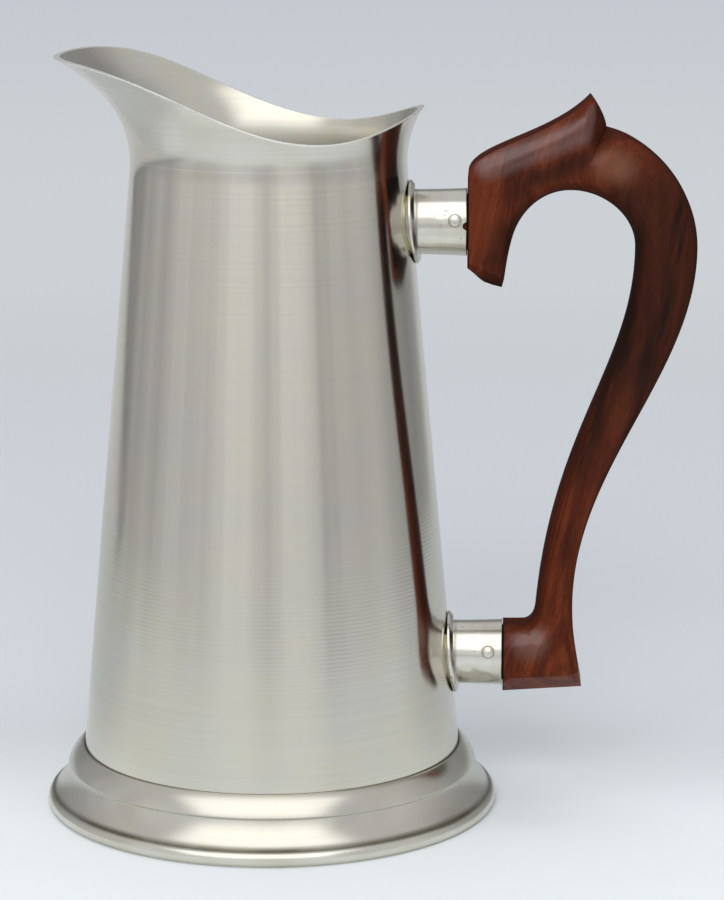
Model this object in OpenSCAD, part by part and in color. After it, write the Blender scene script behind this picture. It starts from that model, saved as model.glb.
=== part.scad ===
// Open tapered pewter jug with a carved hardwood handle held in two pinned sockets.
// The drum's axis is Z and the table is z = 0. The handle points to +X and the spout to -X.

/* [Drum] */
// Outside radius of the drum at the foot's top edge
drum_foot_r = 55.3; // [50:0.1:62]
// Outside radius of the drum at the neck seam
drum_neck_r = 39.8; // [35:0.1:45]
// Height of the neck seam, where the lip collar starts
neck_z = 187; // [160:0.5:215]
// Thickness of the drum and lip sheet
drum_wall = 1.5; // [1.2:0.1:2]
// Length of the lip collar's tongue inside the drum's top
neck_lap = 3; // [2:0.5:6]

/* [Lip] */
// Radius of the lip's first bend outwards
lip_bend_r = 29; // [22:0.5:32]
// Lean of the lip where the first bend ends, in degrees from upright
lip_bend_lean = 48; // [40:1:55]
// Radius of the gentler bend from there to the spout's tip
lip_end_r = 70; // [55:1:110]
// Rise of the spout's crest above the neck seam
spout_rise = 33; // [27:0.5:37]
// Rise of the rim's lowest point above the neck seam
rim_low_rise = 11.2; // [8:0.1:17]
// Distance of the rim's lowest point from the axis, towards the handle
rim_low_x = 18.5; // [10:0.5:25]
// Distance along X from the rim's lowest point to the spout's crest
rim_spout_run = 75.5; // [68:0.5:80]
// Distance along X in which the rim would climb as high on the handle's side
rim_heel_run = 64.6; // [55:0.5:80]

/* [Foot] */
// Height of the foot's top edge
foot_h = 18.1; // [16:0.1:22]
// Thickness of the foot's top edge round the drum
foot_edge = 0.8; // [0.6:0.1:1.6]
// Reach of the foot's sloping shoulder beyond the drum
shoulder_out = 4.9; // [4:0.1:6]
// Height of the sloping shoulder
shoulder_h = 5.6; // [4.5:0.1:6]
// Angle through which the shoulder's face is rounded
shoulder_turn = 34; // [15:1:60]
// Depth of the undercut below the shoulder
undercut = 0.2; // [0.1:0.05:0.5]
// Height of the undercut below the shoulder
undercut_h = 0.5; // [0.3:0.1:1]
// Reach of the hollow cove beyond the undercut
cove_out = 4.2; // [3.5:0.1:6]
// Angle through which the cove is hollowed
cove_turn = 26; // [10:1:45]
// Thickness of the foot's skirt and of the seat inside it
foot_wall = 1.2; // [0.8:0.1:2]
// Depth to which the drum goes down into the foot
drum_lap = 6.1; // [4:0.1:8]
// Width of the seat that the drum and the floor plate stand on
seat_w = 3.4; // [2.5:0.1:5]
// Diameter of the wire round the foot's rim
rim_wire_d = 4.8; // [4:0.1:6]
// Depth of the flat on which the wire stands
rim_wire_flat = 0.3; // [0.2:0.05:0.5]
// Distance of the wire's centre inside the cove's lower edge
rim_wire_inset = 0.3; // [0:0.1:1]
// Height of the cove's lower edge above the wire's top
cove_edge = 0.5; // [0.3:0.1:1]

/* [Floor plate] */
// Thickness of the floor plate
floor_wall = 1.5; // [1:0.1:2.5]
// Height of the floor plate's turned-down flange
floor_flange = 4.5; // [3:0.1:6]

/* [Sockets] */
// Outside radius of a socket at the drum
socket_r = 9.3; // [8.5:0.1:10]
// Widening of a socket's outside from the drum to its mouth
mouth_flare = 0.4; // [0:0.1:1]
// Thickness of a socket's wall at the drum
socket_wall = 1.1; // [0.8:0.1:1.5]
// Drop of the upper socket's axis below the neck seam
upper_socket_drop = 14.6; // [13:0.1:27]
// Length of the upper socket from the drum to its mouth
upper_socket_len = 15.7; // [13:0.1:20]
// Height of the lower socket's axis
lower_socket_z = 45.2; // [40:0.1:60]
// Length of the lower socket from the drum to its mouth
lower_socket_len = 15.1; // [13:0.1:20]
// Radius of the filed notch in the upper socket's mouth
mouth_notch_r = 1.1; // [0.6:0.1:1.5]
// Height of a socket ring above the socket
ring_h = 2.7; // [2.1:0.1:3.7]
// Width of a socket ring's flat edge
ring_w = 1.2; // [0.8:0.1:2]
// Height of a socket ring's front face above the socket
ring_front_h = 1.5; // [0.8:0.1:2]
// Width of the bevel between a socket ring's flat edge and its front face
ring_bevel_w = 0.9; // [0.5:0.1:1.5]
// Depth to which a socket ring is filed to fit the drum
ring_filed = 0.5; // [0.3:0.1:1]

/* [Pins] */
// Radius of a pin's shank
pin_r = 1.1; // [0.8:0.05:1.4]
// Radius of a pin's head
pin_head_r = 1.6; // [1.45:0.05:2]
// Height of a pin's domed head
pin_head_h = 0.5; // [0.3:0.05:0.8]
// Distance of the upper pin's axis from its socket's mouth
upper_pin_inset = 3.4; // [2.6:0.1:5]
// Distance of the lower pin's axis from its socket's mouth
lower_pin_inset = 4.1; // [2.6:0.1:5]
// Slant of the upper pin, which lifts its front head
upper_pin_slant = 9.5; // [0:0.5:20]
// Slant of the lower pin, which lifts its front head
lower_pin_slant = 14; // [0:0.5:20]

/* [Handle] */
// Reach of the grip's back from the upper socket's mouth
handle_reach = 65.6; // [62:0.1:75]
// Drop of the grip's furthest point below the upper socket's axis
back_drop = 7.1; // [3:0.1:12]
// Depth of the grip at its furthest point, seen from the side
grip_w = 17.6; // [14:0.1:20]
// Reach of the thumb rest's tip from the upper socket's mouth
thumb_reach = 34.8; // [32:0.1:37]
// Rise of the thumb rest's tip above the upper socket's axis
thumb_rise = 36.4; // [33:0.1:42]
// Reach of the notch behind the thumb rest
notch_reach = 39.3; // [38:0.1:42]
// Rise of the notch behind the thumb rest
notch_rise = 27.6; // [24:0.1:30]
// Rise of the arch's underside above the upper socket's axis
arch_rise = 9.4; // [7:0.1:13]
// Reach of the beak's tip under the arch
beak_reach = 10; // [7:0.1:11]
// Drop of the beak's tip below the upper socket's axis
beak_drop = 18.2; // [16:0.1:22]
// Height of the upper butt face above and below the socket's axis
butt_h = 13.7; // [12.5:0.1:15]
// Bevel between the upper butt face and the beak's underside
heel_bevel = 1.5; // [0.5:0.1:2.5]
// Reach of the narrow waist's inner side from the lower socket's mouth
waist_reach = 9.6; // [8:0.1:12]
// Rise of the narrow waist above the lower socket's axis
waist_rise = 15.2; // [14:0.1:20]
// Depth of the narrow waist, seen from the side
waist_w = 10.7; // [9:0.1:14]
// Height of the lower block's top above the lower socket's axis
block_rise = 9.5; // [9.2:0.1:11]
// Depth of the lower block's sole below the lower socket's axis
block_drop = 9.8; // [9.5:0.1:12]
// Reach of the lower block's flared toe from the socket's mouth
toe_reach = 23.1; // [22:0.1:28]
// Rise of the toe above the sole's front
toe_lift = 1.6; // [0.5:0.1:2.5]
// Half the handle's thickness at the two butt faces
butt_half = 10.4; // [10.2:0.1:12]
// Half the handle's thickness at the thumb rest's tip
thumb_half = 10.8; // [9:0.1:13]
// Half the handle's thickness along the grip
grip_half = 8.6; // [7.5:0.1:10]
// Rounding of the handle's long edges
grip_round = 4.2; // [3:0.1:5]
// Rounding of the thumb rest's top edges
thumb_round = 4; // [2:0.1:6]
// Rounding of the lower block's top edges
block_round = 8; // [5:0.1:9]
// Rounding of the lower block's sole edges
sole_round = 3.6; // [1:0.1:4]
// Rounding of the edges of the butt faces
butt_round = 0.6; // [0.4:0.1:1]
// Length of a tenon in its socket
tenon_len = 11.5; // [8:0.5:12.5]

/* [Fits] */
// Film of solder between soldered faces
solder_gap = 0.05; // [0.03:0.01:0.1]
// Clearance of a tenon in its socket
tenon_gap = 0.1; // [0.05:0.01:0.2]
// Clearance of a pin in its hole
pin_gap = 0.05; // [0.03:0.01:0.1]
// Clearance between a socket's mouth and the wood
shoulder_gap = 0.1; // [0.05:0.01:0.3]

/* [Hidden] */
$fn = 96;

pewter = [0.74, 0.74, 0.71];
pewter_trim = [0.68, 0.68, 0.65];
rosewood = [0.36, 0.13, 0.07];

// The drum's taper, and how far it leans from upright
taper = (drum_foot_r - drum_neck_r) / (neck_z - foot_h);
drum_lean = atan(taper);
seat_z = foot_h - drum_lap;
tongue = drum_wall / 2;
spout_z = neck_z + spout_rise;
rim_low_z = neck_z + rim_low_rise;
upper_socket_z = neck_z - upper_socket_drop;

// Radius of the drum's outside at a height
function drum_r(z) = drum_foot_r - taper * (z - foot_h);

// Points of an arc in a profile, from angle a to angle b
function arc(centre, r, a, b, steps) =
    [for (i = [0 : steps]) centre + r * [cos(a + (b - a) * i / steps), sin(a + (b - a) * i / steps)]];

// The same list from its last point to its first
function backwards(points) = [for (i = [len(points) - 1 : -1 : 0]) points[i]];

// Drum: a plain cone of sheet, thinned inside its top for the lip collar's tongue
module drum() {
    lap_z = neck_z - neck_lap;
    color(pewter)
    rotate_extrude()
    polygon([
        [drum_r(seat_z), seat_z],
        [drum_r(neck_z), neck_z],
        [drum_r(neck_z) - tongue, neck_z],
        [drum_r(lap_z) - tongue, lap_z],
        [drum_r(lap_z) - drum_wall, lap_z],
        [drum_r(seat_z) - drum_wall, seat_z]
    ]);
}

// Lip: two bends outwards from the drum's own slope, cut to the dip of the rim
lip_steps = 10;
bend_1 = [drum_neck_r + lip_bend_r * cos(drum_lean), neck_z + lip_bend_r * sin(drum_lean)];
bend_1_from = 180 + drum_lean;
bend_1_to = 180 - lip_bend_lean;
bend_2 = bend_1 + (lip_end_r - lip_bend_r) * [cos(lip_bend_lean), -sin(lip_bend_lean)];
lip_spare = 1.5 * drum_wall;
bend_2_to = 180 - asin((spout_z + lip_spare - bend_2[1]) / lip_end_r);

// One face of the lip, set in from the outside towards the axis
function lip_face(inset) = concat(
    arc(bend_1, lip_bend_r + inset, bend_1_from, bend_1_to, lip_steps),
    [for (i = [1 : lip_steps])
        arc(bend_2, lip_end_r + inset, bend_1_to, bend_2_to, lip_steps)[i]]);

// Height of the rim at a distance from the axis towards the handle
function rim_z(x) =
    let (run = x < rim_low_x ? rim_spout_run : rim_heel_run)
    rim_low_z + (spout_rise - rim_low_rise) * (1 - cos(180 * (x - rim_low_x) / run)) / 2;

module lip_wall() {
    lap_z = neck_z - neck_lap;
    neck_in = drum_neck_r - tongue - solder_gap;
    lap_r = drum_r(lap_z) - tongue - solder_gap;
    rotate_extrude()
    polygon(concat(
        [[neck_in, neck_z], [lap_r, lap_z], [drum_r(lap_z) - drum_wall, lap_z]],
        lip_face(drum_wall),
        backwards(lip_face(0))));
}

module below_rim() {
    rim_steps = 40;
    half_w = 2 * drum_foot_r;
    back_x = rim_low_x - rim_spout_run - lip_end_r / 4;
    front_x = rim_low_x + rim_heel_run / 2;
    rotate([90, 0, 0])
    linear_extrude(2 * half_w, center = true)
    polygon(concat(
        [[front_x, 0], [back_x, 0]],
        [for (i = [0 : rim_steps])
            let (x = back_x + (front_x - back_x) * i / rim_steps)
            [x, rim_z(x)]]));
}

module lip_collar() {
    color(pewter)
    intersection() {
        lip_wall();
        below_rim();
    }
}

// Floor plate: a disc with a flange turned down onto the foot's seat
module floor_plate() {
    top_z = seat_z + floor_flange + floor_wall;
    low_r = drum_r(seat_z) - drum_wall - solder_gap;
    top_r = drum_r(top_z) - drum_wall - solder_gap;
    color(pewter_trim)
    rotate_extrude()
    polygon([
        [0, top_z],
        [0, top_z - floor_wall],
        [low_r - 2 * floor_wall, top_z - floor_wall],
        [low_r - floor_wall, seat_z],
        [low_r, seat_z],
        [top_r, top_z]
    ]);
}

// Foot: a spun skirt with a sloping shoulder, a hollow cove and a seat inside for the drum
profile_steps = 12;
shoulder_top = [drum_foot_r + foot_edge, foot_h];
shoulder_w = shoulder_out - foot_edge;
shoulder_start = atan(shoulder_w / shoulder_h) + shoulder_turn / 2;
shoulder_r = norm([shoulder_w, shoulder_h]) / (2 * sin(shoulder_turn / 2));
shoulder_centre = shoulder_top - shoulder_r * [cos(shoulder_start), sin(shoulder_start)];
cove_top = [drum_foot_r + shoulder_out - undercut, foot_h - shoulder_h - undercut_h];
rim_wire_r = rim_wire_d / 2;
cove_foot = [cove_top[0] + cove_out, rim_wire_d - rim_wire_flat + cove_edge];
rim_wire_at = [cove_foot[0] - rim_wire_inset, rim_wire_r - rim_wire_flat];
cove_drop = cove_top[1] - cove_foot[1];
cove_start = atan(cove_out / cove_drop) - cove_turn / 2;
cove_end = cove_start + cove_turn;
cove_r = norm([cove_out, cove_drop]) / (2 * sin(cove_turn / 2));
cove_centre = cove_top + cove_r * [cos(cove_start), sin(cove_start)];

module foot_skirt() {
    seat_in_r = drum_r(seat_z) - seat_w;
    under_z = seat_z - foot_wall;
    under_turn = asin((cove_centre[1] - under_z) / (cove_r + foot_wall));
    color(pewter)
    rotate_extrude()
    difference() {
        polygon(concat(
            [[drum_r(foot_h) + solder_gap, foot_h]],
            arc(shoulder_centre, shoulder_r, shoulder_start, shoulder_start - shoulder_turn, profile_steps),
            arc(cove_centre, cove_r, 180 + cove_start, 180 + cove_end, profile_steps),
            [rim_wire_at],
            arc(cove_centre, cove_r + foot_wall, 180 + cove_end, 180 + under_turn, profile_steps),
            [[seat_in_r, under_z], [seat_in_r, seat_z], [drum_r(seat_z) + solder_gap, seat_z]]));
        translate(rim_wire_at)
        circle(rim_wire_r + solder_gap);
    }
}

// Rim wire: a round wire bent to a hoop and flattened underneath, which the jug stands on
module foot_rim_wire() {
    color(pewter_trim)
    rotate_extrude()
    intersection() {
        translate(rim_wire_at)
        circle(rim_wire_r);
        translate([rim_wire_at[0] - rim_wire_r, 0])
        square([rim_wire_d, rim_wire_d]);
    }
}

// Sockets: slightly flared tubes, cut at one end to the drum and open to the handle at the other
bore_r = socket_r - socket_wall;
socket_mouth_r = socket_r + mouth_flare;
ring_r = socket_r + ring_h;
ring_front_r = socket_r + ring_front_h;
upper_mouth = [drum_r(upper_socket_z) + upper_socket_len, upper_socket_z];
lower_mouth = [drum_r(lower_socket_z) + lower_socket_len, lower_socket_z];

module along_x(mouth) {
    translate([mouth[0], 0, mouth[1]])
    rotate([0, -90, 0])
    children();
}

// The drum's outside as a solid, grown by a gap
module drum_core(gap) {
    translate([0, 0, seat_z])
    cylinder(h = neck_z - seat_z, r1 = drum_r(seat_z) + gap, r2 = drum_neck_r + gap);
}

// A socket's outside as a solid that runs into the drum, grown by a gap
module socket_core(mouth, length, gap) {
    flare = mouth_flare / length;
    deep = length + ring_r / 2;
    along_x(mouth)
    cylinder(h = deep, r1 = socket_mouth_r + gap, r2 = socket_mouth_r - flare * deep + gap);
}

module pin_hole(mouth, inset, slant) {
    translate([mouth[0] - inset, 0, mouth[1]])
    rotate([90 - slant, 0, 0])
    cylinder(h = 4 * socket_mouth_r, r = pin_r + pin_gap, center = true);
}

module socket(mouth, length, inset, slant) {
    color(pewter)
    difference() {
        socket_core(mouth, length, 0);
        translate([shoulder_gap, 0, 0])
        along_x(mouth)
        cylinder(h = length + ring_r, r = bore_r);
        drum_core(solder_gap);
        pin_hole(mouth, inset, slant);
        children();
    }
}

module upper_socket() {
    socket(upper_mouth, upper_socket_len, upper_pin_inset, upper_pin_slant)
    translate([upper_mouth[0], 0, upper_mouth[1]])
    rotate([90, 0, 0])
    cylinder(h = 2 * socket_mouth_r, r = mouth_notch_r);
}

module lower_socket() {
    socket(lower_mouth, lower_socket_len, lower_pin_inset, lower_pin_slant);
}

// Socket rings: bevelled towards the handle, leaning with the drum's wall and filed to it
module socket_ring(mouth, length) {
    edge = ring_w - ring_filed;
    front = edge + ring_bevel_w;
    color(pewter_trim)
    difference() {
        translate([mouth[0] - length, 0, mouth[1]])
        rotate([0, 90 - drum_lean, 0])
        rotate_extrude()
        polygon([
            [bore_r, -ring_filed],
            [ring_r, -ring_filed],
            [ring_r, edge],
            [ring_front_r, front],
            [bore_r, front]
        ]);
        socket_core(mouth, length, solder_gap);
        drum_core(solder_gap);
    }
}

module upper_socket_ring() {
    socket_ring(upper_mouth, upper_socket_len);
}

module lower_socket_ring() {
    socket_ring(lower_mouth, lower_socket_len);
}

// Pins: a slanted shank through socket and tenon with a domed head on each side
module pin_head(seat) {
    dome_r = (pin_head_r * pin_head_r + pin_head_h * pin_head_h) / (2 * pin_head_h);
    intersection() {
        translate([0, 0, seat + pin_head_h - dome_r])
        sphere(dome_r);
        translate([0, 0, seat])
        cylinder(h = pin_head_h, r = pin_head_r);
    }
}

module pin(mouth, length, inset, slant) {
    seat = socket_mouth_r - mouth_flare * inset / length + solder_gap;
    color(pewter_trim)
    translate([mouth[0] - inset, 0, mouth[1]])
    rotate([90 - slant, 0, 0]) {
        cylinder(h = 2 * seat + pin_head_h, r = pin_r, center = true);
        pin_head(seat);
        mirror([0, 0, 1])
        pin_head(seat);
    }
}

module upper_pin() {
    pin(upper_mouth, upper_socket_len, upper_pin_inset, upper_pin_slant);
}

module lower_pin() {
    pin(lower_mouth, lower_socket_len, lower_pin_inset, lower_pin_slant);
}

// Handle: corner points of its side outline, measured from the two mouths
upper_butt = upper_mouth + [shoulder_gap, 0];
lower_butt = lower_mouth + [shoulder_gap, 0];
beak_tip = upper_butt + [beak_reach, -beak_drop];
butt_low = upper_butt + [0, -butt_h];
butt_high = upper_butt + [0, butt_h];
throat = upper_butt + [1.34 * beak_reach, -0.19 * butt_h];
arch_peak = upper_butt + [0.82 * thumb_reach, arch_rise];
arch_behind = upper_butt + [0.88 * thumb_reach, arch_rise];
thumb_tip = upper_butt + [thumb_reach, thumb_rise];
notch = upper_butt + [notch_reach, notch_rise];
grip_back = upper_butt + [handle_reach, -back_drop];
grip_front = grip_back - [grip_w, 0];
waist_front = lower_butt + [waist_reach, waist_rise];
waist_back = waist_front + [waist_w, 0];
block_front = lower_butt + [0, block_rise];
block_top = lower_butt + [0.55 * waist_reach, block_rise];
sole_front = lower_butt + [0, -block_drop];
toe = lower_butt + [toe_reach, toe_lift - block_drop];

// A smooth curve between two points: the angle it leaves and arrives at, and how far each pulls
function bend(a, a_angle, a_pull, b, b_angle, b_pull) =
    let (d = norm(b - a))
    [a, a + a_pull * d * [cos(a_angle), sin(a_angle)], b - b_pull * d * [cos(b_angle), sin(b_angle)], b];

function straight(a, b) = [a, a + (b - a) / 3, b - (b - a) / 3, b];

function on_curve(c, t) =
    pow(1 - t, 3) * c[0] + 3 * t * pow(1 - t, 2) * c[1] + 3 * t * t * (1 - t) * c[2] + t * t * t * c[3];

// Stretches of the handle from the beak to the sole: the inner curve, the outer curve, half the
// thickness and the edge rounding at the inner and outer side, at both ends, and the steps between
beak_edge = beak_tip + 0.1 * (throat - beak_tip);
crisp = 2 * butt_round;
stretches = [
    [straight(beak_tip, beak_edge),
     straight(butt_low + [heel_bevel, 0], butt_low + [0, heel_bevel]),
     [0.7 * grip_half, grip_half], [0.85 * butt_half, butt_half],
     [crisp, crisp], [butt_round, butt_round], 1],
    [bend(beak_edge, 80, 0.33, throat, 70, 0.33),
     straight(butt_low + [0, heel_bevel], butt_high),
     [grip_half, grip_half], [butt_half, butt_half],
     [crisp, grip_round], [butt_round, butt_round], 6],
    [bend(throat, 70, 0.32, arch_peak, 3, 0.4),
     bend(butt_high, 90, 0.2, thumb_tip, 47, 0.4),
     [grip_half, grip_half], [butt_half, thumb_half],
     [grip_round, grip_round], [butt_round, thumb_round], 14],
    [straight(arch_peak, arch_behind),
     bend(thumb_tip, -50, 0.32, notch, -84, 0.28),
     [grip_half, grip_half], [thumb_half, grip_half],
     [grip_round, grip_round], [thumb_round, grip_round], 4],
    [bend(arch_behind, -4, 0.36, grip_front, -90, 0.39),
     bend(notch, -17, 0.33, grip_back, -90, 0.4),
     [grip_half, grip_half], [grip_half, grip_half],
     [grip_round, grip_round], [grip_round, grip_round], 12],
    [bend(grip_front, -90, 0.31, waist_front, -95, 0.49),
     bend(grip_back, -90, 0.33, waist_back, -90, 0.375),
     [grip_half, grip_half], [grip_half, grip_half],
     [grip_round, grip_round], [grip_round, grip_round], 20],
    [bend(waist_front, -95, 0.42, block_top, 180, 0.4),
     bend(waist_back, -90, 0.33, toe, -78, 0.33),
     [grip_half, butt_half], [grip_half, butt_half],
     [grip_round, block_round], [grip_round, sole_round], 10],
    [straight(block_top, block_front),
     straight(toe, sole_front),
     [butt_half, butt_half], [butt_half, butt_half],
     [block_round, block_round], [sole_round, sole_round], 3]
];

corner_steps = 4;

function between(pair, t) = pair[0] + (pair[1] - pair[0]) * t;

// One corner of a section: the way along the section, its side, and its rounding
function corner(foot, along, inward, half, side, r, a, b) = [
    for (i = [0 : corner_steps])
        let (turn = a + (b - a) * i / corner_steps,
             s = inward * r * (1 - cos(turn)),
             p = foot + s * along)
        [p[0], side * (half - r + r * sin(turn)), p[1]]];

// One rounded section across the handle, at a share of the way along a stretch
function section(stretch, t) =
    let (front = on_curve(stretch[0], t),
         back = on_curve(stretch[1], t),
         along = (back - front) / norm(back - front),
         front_half = between(stretch[2], t),
         back_half = between(stretch[3], t),
         front_r = between(stretch[4], t),
         back_r = between(stretch[5], t))
    concat(
        corner(front, along, 1, front_half, -1, front_r, 0, 90),
        corner(back, along, -1, back_half, -1, back_r, 90, 0),
        corner(back, along, -1, back_half, 1, back_r, 0, 90),
        corner(front, along, 1, front_half, 1, front_r, 90, 0));

module carved_wood() {
    sections = concat(
        [section(stretches[0], 0)],
        [for (stretch = stretches, i = [1 : stretch[6]]) section(stretch, i / stretch[6])]);
    sides = len(sections[0]);
    last = (len(sections) - 1) * sides;
    points = [for (ring = sections, p = ring) p];
    walls = [
        for (k = [0 : len(sections) - 2], i = [0 : sides - 1])
            let (a = k * sides + i,
                 b = k * sides + (i + 1) % sides)
            each [[a, b, a + sides], [b, b + sides, a + sides]]];
    beak_cap = [for (i = [1 : sides - 2]) [0, i + 1, i]];
    sole_cap = [for (i = [1 : sides - 2]) [last, last + i, last + i + 1]];
    polyhedron(points, concat(walls, beak_cap, sole_cap));
}

module tenon(butt) {
    root = bore_r / 2;
    translate([root, 0, 0])
    along_x(butt)
    cylinder(h = tenon_len + root, r = bore_r - tenon_gap);
}

module handle() {
    color(rosewood)
    difference() {
        union() {
            carved_wood();
            tenon(upper_butt);
            tenon(lower_butt);
        }
        pin_hole(upper_mouth, upper_pin_inset, upper_pin_slant);
        pin_hole(lower_mouth, lower_pin_inset, lower_pin_slant);
    }
}

drum();
lip_collar();
floor_plate();
foot_skirt();
foot_rim_wire();
upper_socket();
upper_socket_ring();
lower_socket();
lower_socket_ring();
handle();
upper_pin();
lower_pin();
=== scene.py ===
import math

import bmesh
import bpy
import numpy as np
from mathutils import Matrix, Vector


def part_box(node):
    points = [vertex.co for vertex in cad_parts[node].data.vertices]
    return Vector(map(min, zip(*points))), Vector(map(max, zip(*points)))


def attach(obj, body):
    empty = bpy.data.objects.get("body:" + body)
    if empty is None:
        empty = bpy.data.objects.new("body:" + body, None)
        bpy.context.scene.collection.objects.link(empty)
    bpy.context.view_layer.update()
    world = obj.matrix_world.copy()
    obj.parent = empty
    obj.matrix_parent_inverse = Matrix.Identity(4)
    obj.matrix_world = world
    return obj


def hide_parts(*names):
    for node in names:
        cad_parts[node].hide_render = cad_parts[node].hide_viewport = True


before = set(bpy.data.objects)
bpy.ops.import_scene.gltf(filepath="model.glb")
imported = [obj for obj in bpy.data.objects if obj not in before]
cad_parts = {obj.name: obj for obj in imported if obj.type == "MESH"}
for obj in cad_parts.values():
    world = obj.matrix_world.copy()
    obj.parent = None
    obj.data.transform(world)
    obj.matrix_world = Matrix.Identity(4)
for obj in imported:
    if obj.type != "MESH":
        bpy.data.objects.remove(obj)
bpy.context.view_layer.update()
print("frame loaded,", len(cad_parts), "nodes")

mm = 0.001  # sizes below are millimetres, meshes are metres
scene = bpy.context.scene
scene.view_settings.view_transform = "Standard"


# Node trees: one class wraps a socket, one adds nodes
class Wire:
    def __init__(self, sheet, socket):
        self.sheet = sheet
        self.socket = socket

    def maths(self, operation, first, second=0.0, clamp=False):
        settings = {"operation": operation, "use_clamp": clamp}
        return self.sheet.add("ShaderNodeMath", settings, {0: first, 1: second})

    def __add__(self, other):
        return self.maths("ADD", self, other)

    def __radd__(self, other):
        return self.maths("ADD", other, self)

    def __sub__(self, other):
        return self.maths("SUBTRACT", self, other)

    def __rsub__(self, other):
        return self.maths("SUBTRACT", other, self)

    def __mul__(self, other):
        return self.maths("MULTIPLY", self, other)

    def __rmul__(self, other):
        return self.maths("MULTIPLY", other, self)

    def __truediv__(self, other):
        return self.maths("DIVIDE", self, other)

    def __rtruediv__(self, other):
        return self.maths("DIVIDE", other, self)

    def __pow__(self, other):
        return self.maths("POWER", self, other)

    def clamp(self):
        return self.maths("ADD", self, 0.0, True)

    def step(self, low, high):  # 0 below low, 1 above high, soft between
        values = {"Value": self, "From Min": low, "From Max": high}
        return self.sheet.add("ShaderNodeMapRange", {"interpolation_type": "SMOOTHSTEP"}, values)

    def bell(self, middle, width):  # 1 at middle, soft to 0 at width away
        away = self.maths("ABSOLUTE", self - middle)
        return 1 - away.step(0.0, width)


class Sheet:
    def __init__(self, tree):
        self.tree = tree

    def add(self, kind, settings=None, sockets=None, output=0):
        node = self.tree.nodes.new(kind)
        for name, value in (settings or {}).items():
            if name == "stops":
                self.setStops(node.color_ramp, value)
            else:
                setattr(node, name, value)
        for name, value in (sockets or {}).items():
            if isinstance(value, Wire):
                self.tree.links.new(value.socket, node.inputs[name])
            else:
                node.inputs[name].default_value = value
        return Wire(self, node.outputs[output]) if node.outputs else node

    def setStops(self, ramp, stops):
        while len(ramp.elements) < len(stops):
            ramp.elements.new(1.0)
        for element, (place, colour) in zip(ramp.elements, stops):
            element.position = place
            element.color = colour if len(colour) == 4 else (*colour, 1.0)

    def mix(self, factor, first, second):  # colours
        first = first if isinstance(first, Wire) else (*first, 1.0)
        second = second if isinstance(second, Wire) else (*second, 1.0)
        sockets = {0: factor, 6: first, 7: second}
        return self.add("ShaderNodeMix", {"data_type": "RGBA"}, sockets, 2)

    def noise(self, vector, scale=1.0, detail=2.0, roughness=0.5):
        sockets = {"Vector": vector, "Scale": scale, "Detail": detail, "Roughness": roughness}
        return self.add("ShaderNodeTexNoise", {}, sockets)

    def join(self, x, y, z):
        return self.add("ShaderNodeCombineXYZ", {}, {0: x, 1: y, 2: z})

    def split(self, vector):
        parts = self.add("ShaderNodeSeparateXYZ", {}, {0: vector}).socket.node
        return [Wire(self, out) for out in parts.outputs]

    def place(self):
        return self.add("ShaderNodeTexCoord", {}, {}, "Object")

    def ray(self, kind):
        return self.add("ShaderNodeLightPath", {}, {}, kind)


def newMaterial(name):
    material = bpy.data.materials.new(name)
    material.use_nodes = True
    material.node_tree.nodes.clear()
    return material, Sheet(material.node_tree)


def finishMaterial(sheet, height, sockets):
    bump = sheet.add("ShaderNodeBump", {}, {"Strength": 1.0, "Distance": 1.0, "Height": height})
    skin = sheet.add("ShaderNodeBsdfPrincipled", {}, {**sockets, "Normal": bump})
    sheet.add("ShaderNodeOutputMaterial", {}, {"Surface": skin})


def varied(look, **changes):  # a finish like another, apart from some settings
    return {**look, **changes}


# Pewter: turning lines, a little tarnish, scratches and pits
pewterLook = {
    "tint": (0.70, 0.678, 0.595),
    "warmTint": (0.72, 0.682, 0.57),
    "lineTint": (0.62, 0.60, 0.53),
    "pitTint": (0.30, 0.28, 0.23),
    "dirtAndShadeTint": (0.13, 0.115, 0.075),
    "turnedAlong": "z",
    "lineFine": 1500.0,  # per metre across the lines
    "lineLength": 14.0,  # per metre along them
    "lineBand": (0.35, 0.75),
    "lineTone": 0.35,
    "lineRough": 0.10,
    "lineDepth": 0.6e-6,
    "cloudScale": 38.0,
    "cloudBand": (0.35, 0.7),
    "cloudRough": 0.08,
    "waviness": 6e-6,
    "pitScale": 310.0,
    "pitFrom": 0.87,
    "pitSoft": 0.03,
    "pitTone": 0.7,
    "pitRough": 0.2,
    "pitDepth": 6e-6,
    "dirtRough": 0.3,
    "roughness": 0.155,
    "anisotropy": 0.78,
    "anisotropyTurn": 0.25,
}


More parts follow.
